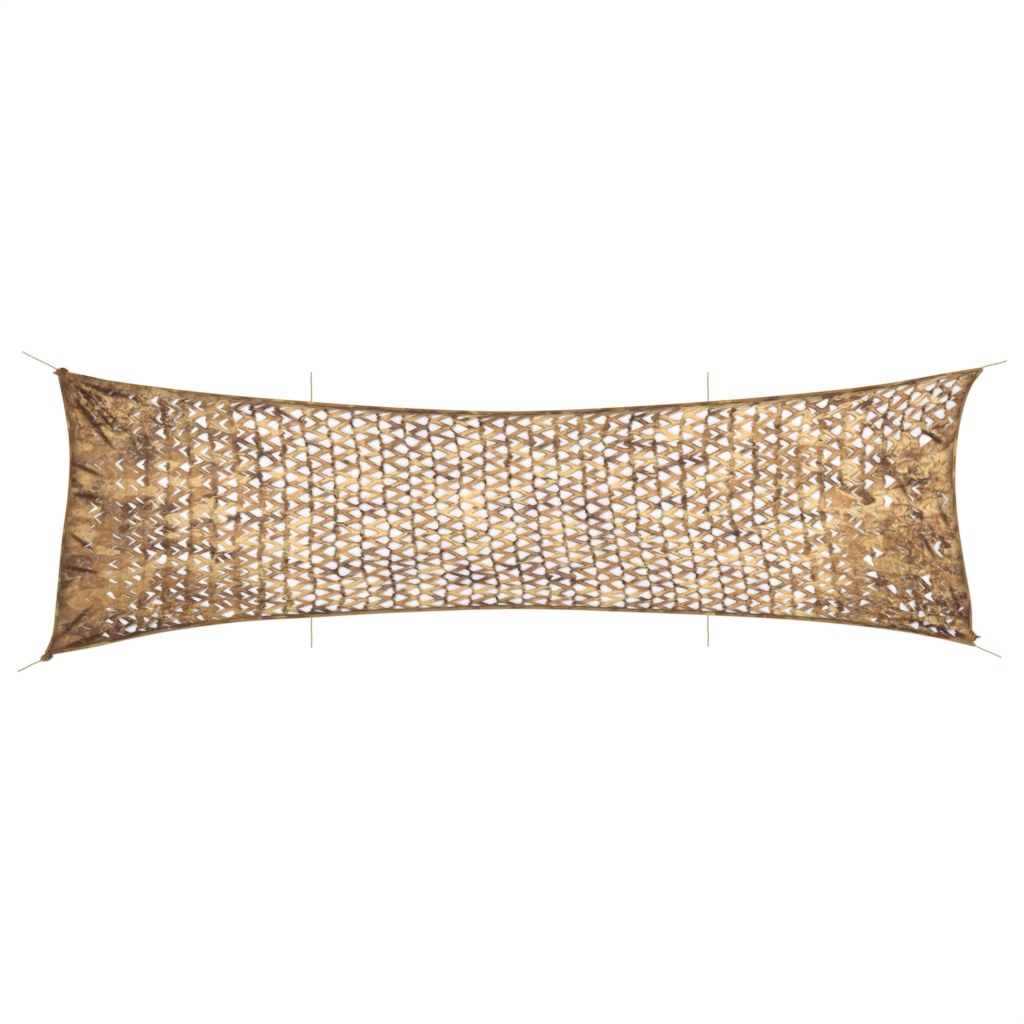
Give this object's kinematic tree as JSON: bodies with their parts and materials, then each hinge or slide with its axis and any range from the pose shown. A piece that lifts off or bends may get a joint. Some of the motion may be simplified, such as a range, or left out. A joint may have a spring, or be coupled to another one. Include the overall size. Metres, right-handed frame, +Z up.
{
  "type": "camouflage netting",
  "caption": "Camouflage netting: a hemmed panel of printed cloth cut with rows of paired V-shaped openings, stretched out flat, waisted, with tied corners and free cord ties.",
  "frame": {"origin": "Centre of the cloth's outline, ties aside, on the surface it lies on.", "axes": "+X along the net, +Y across it, +Z up from the cloth."},
  "size_m": [5.3477, 1.7335, 0.02],
  "materials": {
    "camouflage_cloth": "printed woven synthetic cloth, faintly satin",
    "bunched_cloth": "the same cloth, bunched dark side out",
    "beige_cord": "twisted synthetic cord, matt"
  },
  "bodies": {
    "root": {"net_panel": "camouflage_cloth", "corner_knot_top_left": "bunched_cloth", "corner_knot_bottom_left": "bunched_cloth", "corner_knot_bottom_right": "bunched_cloth", "tie_top_left": "beige_cord", "tie_top_left_inner": "beige_cord", "tie_top_right_inner": "beige_cord", "tie_top_right": "beige_cord", "tie_bottom_left": "beige_cord", "tie_bottom_left_inner": "beige_cord", "tie_bottom_right_inner": "beige_cord", "tie_bottom_right": "beige_cord"}
  },
  "joints": []
}
